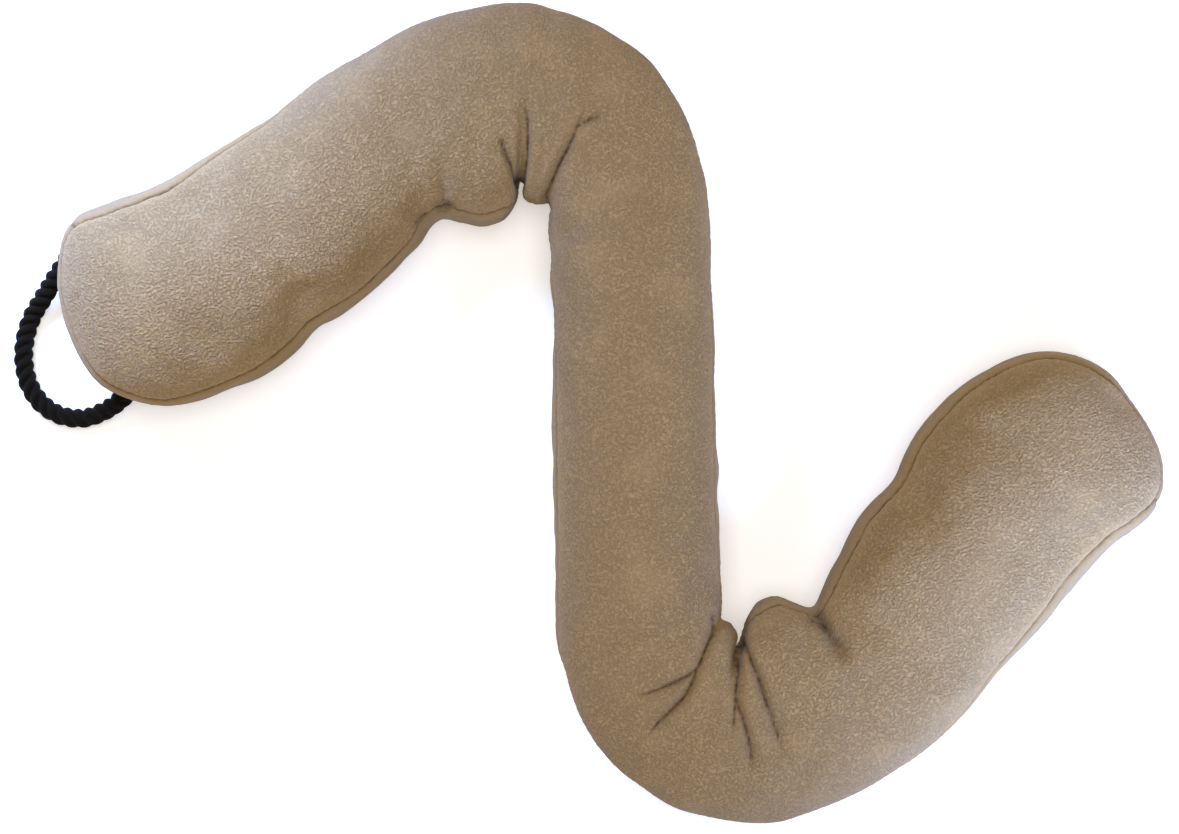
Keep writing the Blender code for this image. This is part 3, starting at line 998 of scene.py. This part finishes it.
    def across_joint(self, points: np.ndarray, spot: tuple) -> np.ndarray:
        """Measure from the upright plane of a joint in the strip.

        Args:
            points: the cover's points, in millimetres.
            spot: where the joint meets the top seam: x, y.

        Returns:
            Each point's distance from the plane, with a sign for its side.
        """
        edges = self.rib_points[:, self.top_seam_column, :2]
        nearest = int(np.argmin(np.linalg.norm(edges - spot, axis=1)))
        run = edges[(nearest + 2) % len(edges)] - edges[nearest - 2]
        run = run / np.linalg.norm(run)
        return (points[:, :2] - edges[nearest]) @ run

    def top_seam_at(self, points: np.ndarray, spot: tuple) -> float:
        """Return the height of the top seam nearest to a spot."""
        line = self.rib_points[:, self.top_seam_column]
        return float(line[np.argmin(np.linalg.norm(line[:, :2] - spot, axis=1)), 2])

    def unevenness(self, points: np.ndarray) -> np.ndarray:
        """Raise the cover with lumps in the filling and tufts of the nap.

        Args:
            points: the cover's points, in millimetres.

        Returns:
            How far each point is raised.
        """
        lumps = noise_at(points, 42.0, offset=1.0) * self.lump_height
        tufts = noise_at(points, 2.6, offset=4.0) * self.tuft_height
        flat = np.clip(points[:, 2] / 6.0, 0, 1)
        return (lumps + tufts) * flat

    def swell(self, body: bpy.types.Object, points: np.ndarray, normals: np.ndarray) -> np.ndarray:
        """Blow the cover up between its seams and folds with a cloth simulation.

        Args:
            body: the smooth cover.
            points: its points, in millimetres.
            normals: its directions outwards.

        Returns:
            How far each point of the cover moves, in millimetres.
        """
        trial = bpy.data.objects.new("cover_trial", body.data.copy())
        bpy.context.scene.collection.objects.link(trial)
        trial.data.vertices.foreach_set("co", (points * MM).astype(np.float32).ravel())
        pick_only(trial)
        trial.data.remesh_voxel_size = self.voxel * MM
        bpy.ops.object.voxel_remesh()
        start = self.read(trial)

        columns = (self.top_seam_column, self.base_seam_column)
        seams = np.concatenate([self.index[:, column] for column in columns])
        lines = np.vstack([points[seams], self.fold_line_points(points)])
        held = kdtree.KDTree(len(lines))
        for i, place in enumerate(lines):
            held.insert(place, i)
        held.balance()
        group = trial.vertex_groups.new(name="sewn")
        loose = np.zeros(len(start))
        for i, place in enumerate(start):
            away = np.array(held.find(place)[2])
            weight = 1.0 if place[2] < 3.0 else float(ramp(away, self.held_far, self.held_near))
            group.add([i], weight, "REPLACE")
            loose[i] = 1 - weight

        cloth = trial.modifiers.new("Cloth", "CLOTH")
        cloth.settings.quality = 6
        cloth.settings.mass = 0.3
        cloth.settings.tension_stiffness = 12
        cloth.settings.compression_stiffness = 12
        cloth.settings.shear_stiffness = 4
        cloth.settings.bending_stiffness = 0.6
        cloth.settings.shrink_min = -self.fullness
        cloth.settings.use_pressure = True
        cloth.settings.uniform_pressure_force = self.pressure
        cloth.settings.vertex_group_mass = "sewn"
        cloth.settings.effector_weights.gravity = 0.0
        cloth.point_cache.frame_start = 1
        cloth.point_cache.frame_end = self.last_frame
        for moment in range(1, self.last_frame + 1):
            bpy.context.scene.frame_set(moment)
        pick_only(trial)
        bpy.ops.object.modifier_apply(modifier=cloth.name)
        move = self.read(trial) - start
        bpy.data.objects.remove(trial, do_unlink=True)
        bpy.context.scene.frame_set(1)

        length = np.linalg.norm(move, axis=1)
        move *= (np.minimum(length, self.swell_limit) / np.maximum(length, 1e-6))[:, None]
        log.info("swelling: middle %.2f mm, most %.2f mm", float(np.median(length)), float(length.max()))
        tree = kdtree.KDTree(len(start))
        for i, place in enumerate(start):
            tree.insert(place, i)
        tree.balance()
        spread = np.zeros_like(points)
        slack = np.zeros(len(points))
        for i, place in enumerate(points):
            found = tree.find_n(place, self.carry_points)
            weights = np.array([math.exp(-(item[2] / self.carry_reach) ** 2) for item in found]) + 1e-9
            weights /= weights.sum()
            near = [item[1] for item in found]
            spread[i] = weights @ move[near]
            slack[i] = weights @ loose[near]
        flat = np.clip(points[:, 2] / 6.0, 0, 1)[:, None]
        return (spread - normals * self.swell_allowance * slack[:, None]) * flat

    def fold_line_points(self, points: np.ndarray) -> np.ndarray:
        """Find the points of the cover that lie on the folds' lines.

        Args:
            points: the cover's points, in millimetres.

        Returns:
            The points that do.
        """
        near = np.full(len(points), 1e9)
        for fold in self.folds.values():
            if fold.crisp:
                near = np.minimum(near, self.reach_of(fold, points[:, :2])[0])
        return points[near < 1.0]

    @staticmethod
    def read(piece: bpy.types.Object) -> np.ndarray:
        """Read an object's points.

        Args:
            piece: the object.

        Returns:
            Its points, in millimetres.
        """
        flat = np.zeros(len(piece.data.vertices) * 3, np.float32)
        piece.data.vertices.foreach_get("co", flat)
        return flat.reshape(-1, 3).astype(float) / MM

    def dress(self, body: bpy.types.Object) -> None:
        """Give each panel its fleece.

        Args:
            body: the tube.
        """
        top = FleeceFinish("fleece_top", tuft=(0.471, 0.296, 0.122), ground=(0.283, 0.178, 0.073))
        strip = FleeceFinish(
            "fleece_strip", tuft=(0.375, 0.236, 0.098), ground=(0.290, 0.182, 0.075),
            tuft_height=0.5, contrast=0.5,
        )
        base = FleeceFinish("fleece_base", tuft=(0.465, 0.292, 0.120), ground=(0.279, 0.175, 0.072))
        for finish in (top, strip, base):
            body.data.materials.append(finish.material())


@dataclass
class SeamStitches:
    """The sewing thread that shows in the top and base seams, one short stitch after another."""

    tube: StuffedTube
    stitch: float = 2.3
    step: float = 3.1
    thickness: float = 0.6
    proud: float = 0.15

    def build(self) -> bpy.types.Object:
        """Model one stitch and copy it along both seams.

        Returns:
            The stitches as one object.
        """
        bpy.ops.mesh.primitive_uv_sphere_add(segments=6, ring_count=5, radius=0.5)
        pattern = bpy.context.object
        shape = np.array([v.co[:] for v in pattern.data.vertices])
        loops = [list(p.vertices) for p in pattern.data.polygons]
        bpy.data.objects.remove(pattern, do_unlink=True)
        shape = shape[:, [2, 0, 1]] * (self.stitch, self.thickness, self.thickness)

        points, faces = [], []
        for column in (self.tube.top_seam_column, self.tube.base_seam_column):
            ids = self.tube.index[:, column]
            line = self.tube.points[ids]
            up = self.tube.directions[ids]
            closed = np.vstack([line, line[:1]])
            lengths = np.linalg.norm(np.diff(closed, axis=0), axis=1)
            travelled = np.concatenate([[0.0], np.cumsum(lengths)])
            count = round(travelled[-1] / self.step)
            for number in range(count):
                start = number * travelled[-1] / count
                at, ahead = (self.place(closed, travelled, start + shift) for shift in (0.0, self.stitch))
                row = min(int(np.searchsorted(travelled, start)), len(ids) - 1)
                along = (ahead - at) / max(np.linalg.norm(ahead - at), 1e-6)
                lift = up[row] - along * np.dot(up[row], along)
                lift = lift / max(np.linalg.norm(lift), 1e-6)
                side = np.cross(along, lift)
                middle = (at + ahead) / 2 + lift * self.proud
                moved = shape @ np.array([along, side, lift]) + middle
                faces += [[corner + len(points) for corner in loop] for loop in loops]
                points += moved.tolist()
        mesh = bpy.data.meshes.new("seam_stitches")
        mesh.from_pydata((np.array(points) * MM).tolist(), [], faces)
        mesh.shade_smooth()
        stitches = bpy.data.objects.new("seam_stitches", mesh)
        bpy.context.scene.collection.objects.link(stitches)
        return stitches

    @staticmethod
    def place(line: np.ndarray, travelled: np.ndarray, distance: float) -> np.ndarray:
        """Return the point that lies a distance along a closed line."""
        distance = distance % travelled[-1]
        return np.array([np.interp(distance, travelled, line[:, axis]) for axis in range(3)])

    def dress(self, stitches: bpy.types.Object) -> None:
        """Give the stitches their thread."""
        stitches.data.materials.append(ThreadFinish().material())


@dataclass
class RopeLoop:
    """The hanging loop: a three-strand black cord with both ends sewn into the base seam."""

    route: tuple
    diameter: float = 9.4
    strands: int = 3
    pitch: float = 19.0
    strand_radius: float = 3.3
    outer_radius: float = 5.35
    ring_step: float = 0.7
    ring_points: int = 48

    def centre_line(self) -> np.ndarray:
        """Return the rope's centre line, in millimetres, evenly spaced."""
        return smooth_line(self.route, self.ring_step)

    def outline_radius(self, turn: np.ndarray) -> np.ndarray:
        """Measure the twisted rope's outline.

        Args:
            turn: angles round the rope from the middle of a strand, in radians.

        Returns:
            How far the strands reach from the rope's middle at each angle.
        """
        offset = self.outer_radius - self.strand_radius
        share = 2 * math.pi / self.strands
        turn = (turn + share / 2) % share - share / 2
        return offset * np.cos(turn) + np.sqrt(self.strand_radius ** 2 - (offset * np.sin(turn)) ** 2)

    def build(self) -> bpy.types.Object:
        """Twist the strands along the route.

        Returns:
            The rope, one closed mesh whose ends lie inside the tube.
        """
        line = self.centre_line()
        steps = np.linalg.norm(np.diff(line, axis=0), axis=1)
        travelled = np.concatenate([[0.0], np.cumsum(steps)])
        runs = np.gradient(line, axis=0)
        runs /= np.linalg.norm(runs, axis=1)[:, None]
        side = np.cross(runs[0], (0.0, 0.0, 1.0))
        rings = []
        angles = np.linspace(0, 2 * math.pi, self.ring_points, endpoint=False)
        for centre, run, distance in zip(line, runs, travelled):
            side = side - run * np.dot(side, run)
            side /= np.linalg.norm(side)
            up = np.cross(run, side)
            radius = self.outline_radius(angles)
            turned = angles + 2 * math.pi * distance / self.pitch
            ring = np.outer(np.cos(turned) * radius, side) + np.outer(np.sin(turned) * radius, up)
            rings.append(centre + ring)
        rings = np.array(rings)
        count, around = rings.shape[:2]
        points = np.vstack([rings.reshape(-1, 3), line[0], line[-1]])
        index = np.arange(count * around).reshape(count, around)
        faces = []
        for here, following in zip(index, index[1:]):
            for k in range(around):
                after = (k + 1) % around
                faces.append((here[k], here[after], following[after], following[k]))
        first, last = count * around, count * around + 1
        faces += [(first, index[0][(k + 1) % around], index[0][k]) for k in range(around)]
        faces += [(last, index[-1][k], index[-1][(k + 1) % around]) for k in range(around)]
        mesh = bpy.data.meshes.new("rope_strands")
        mesh.from_pydata((points * MM).tolist(), [], [list(map(int, face)) for face in faces])
        self.lay_uv(mesh, travelled, around)
        mesh.shade_smooth()
        rope = bpy.data.objects.new("rope_strands", mesh)
        bpy.context.scene.collection.objects.link(rope)
        return rope

    def lay_uv(self, mesh: bpy.types.Mesh, travelled: np.ndarray, around: int) -> None:
        """Lay a UV map whose u runs along a strand and whose v runs across it, in millimetres.

        Args:
            mesh: the rope's mesh.
            travelled: distance along the rope of each ring.
            around: points in a ring.
        """
        layer = mesh.uv_layers.new(name="strands")
        width = math.pi * self.diameter / around
        for polygon in mesh.polygons:
            columns = [mesh.loops[i].vertex_index % around for i in polygon.loop_indices]
            wrap = around if max(columns) - min(columns) > 1 else 0
            for i, column in zip(polygon.loop_indices, columns):
                ring = min(mesh.loops[i].vertex_index // around, len(travelled) - 1)
                column += wrap if column == 0 else 0
                layer.data[i].uv = (travelled[ring], column * width)

    def dress(self, rope: bpy.types.Object) -> None:
        """Give the rope its black cord."""
        rope.data.materials.append(RopeFinish().material())


class Tint(Enum):
    """The colours of the lamps."""

    COOL = (0.26, 0.42, 1.0)
    WARM = (1.0, 0.975, 0.94)


@dataclass(frozen=True)
class Lamp:
    """A soft square lamp: its place and target in metres, power in watts and spread in degrees."""

    name: str
    place: tuple[float, float, float]
    target: tuple[float, float, float]
    size: float
    power: float
    spread: float
    tint: Tint

    def hang(self) -> None:
        """Add the lamp and turn it to its target."""
        bpy.ops.object.light_add(type="AREA", location=self.place)
        lamp = bpy.context.object
        lamp.name = self.name
        lamp.data.size = self.size
        lamp.data.energy = self.power
        lamp.data.color = self.tint.value
        lamp.data.spread = math.radians(self.spread)
        aim = Vector(self.target) - lamp.location
        lamp.rotation_euler = aim.to_track_quat("-Z", "Y").to_euler()


# Two low lamps, one at each end of the S, and a large one high above.
LAMPS = (
    Lamp("key_light", (-0.43, 0.44, 0.38), (-0.27, 0.12, 0.0), 0.30, 2.05, 55, Tint.COOL),
    Lamp("side_light", (0.46, -0.46, 0.36), (0.30, -0.10, 0.0), 0.30, 2.15, 55, Tint.COOL),
    Lamp("top_light", (0.0, 0.1, 2.4), (0.0, 0.0, 0.0), 1.3, 32.5, 180, Tint.WARM),
)


@dataclass
class Studio:
    """The camera straight above, the lamps, a pale surround and a pale floor."""

    view_x: float = -11.97
    view_y: float = -2.13
    view_height: float = 1700.0
    lens: float = 95.5
    floor_size: float = 6000.0
    surround: float = 0.275

    def aim_camera(self) -> None:
        """Hang the camera over the piece, looking straight down."""
        place = (self.view_x * MM, self.view_y * MM, self.view_height * MM)
        bpy.ops.object.camera_add(location=place, rotation=(0.0, 0.0, 0.0))
        camera = bpy.context.object
        camera.name = "camera"
        camera.data.lens = self.lens
        camera.data.sensor_width = 36.0
        camera.data.dof.use_dof = False
        bpy.context.scene.camera = camera

    def light(self) -> None:
        """Place the lamps and the pale surround."""
        for lamp in LAMPS:
            lamp.hang()
        world = bpy.data.worlds.new("pale_surround")
        world.use_nodes = True
        background = world.node_tree.nodes["Background"]
        background.inputs["Color"].default_value = (*Tint.WARM.value, 1.0)
        background.inputs["Strength"].default_value = self.surround
        bpy.context.scene.world = world
        bpy.context.scene.view_settings.view_transform = "Standard"

    def lay_floor(self) -> bpy.types.Object:
        """Lay the floor.

        Returns:
            The floor.
        """
        bpy.ops.mesh.primitive_plane_add(size=self.floor_size * MM, location=(0.0, 0.0, -0.3 * MM))
        floor = bpy.context.object
        floor.name = "floor"
        floor.data.materials.append(FloorFinish().material())
        return floor


def report(piece: bpy.types.Object) -> None:
    """Log a piece's faces and size.

    Args:
        piece: the finished piece.
    """
    size = ", ".join(f"{side / MM:.0f}" for side in piece.dimensions)
    log.info("%s: %d faces, %s mm", piece.name, len(piece.data.polygons), size)


def main() -> None:
    """Build the camera, the rope, the tube and its stitches, then light them."""
    logging.basicConfig(level=logging.INFO, format="%(message)s")
    studio = Studio()
    studio.aim_camera()

    loop = RopeLoop(ROPE_ROUTE)
    rope = loop.build()
    loop.dress(rope)
    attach(rope, "root")
    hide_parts("rope_loop")
    report(rope)

    tube = StuffedTube(
        Outline(SECTIONS, PLAIN_END_OUTLINE, LOOP_END_OUTLINE), FOLDS, rope_ends=((-292, 86), (-257, 12))
    )
    body = tube.build()
    tube.dress(body)
    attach(body, "root")
    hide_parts("stuffed_tube")
    report(body)

    sewing = SeamStitches(tube)
    stitches = sewing.build()
    sewing.dress(stitches)
    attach(stitches, "root")
    report(stitches)

    studio.light()
    studio.lay_floor()


if __name__ == "__main__":
    main()
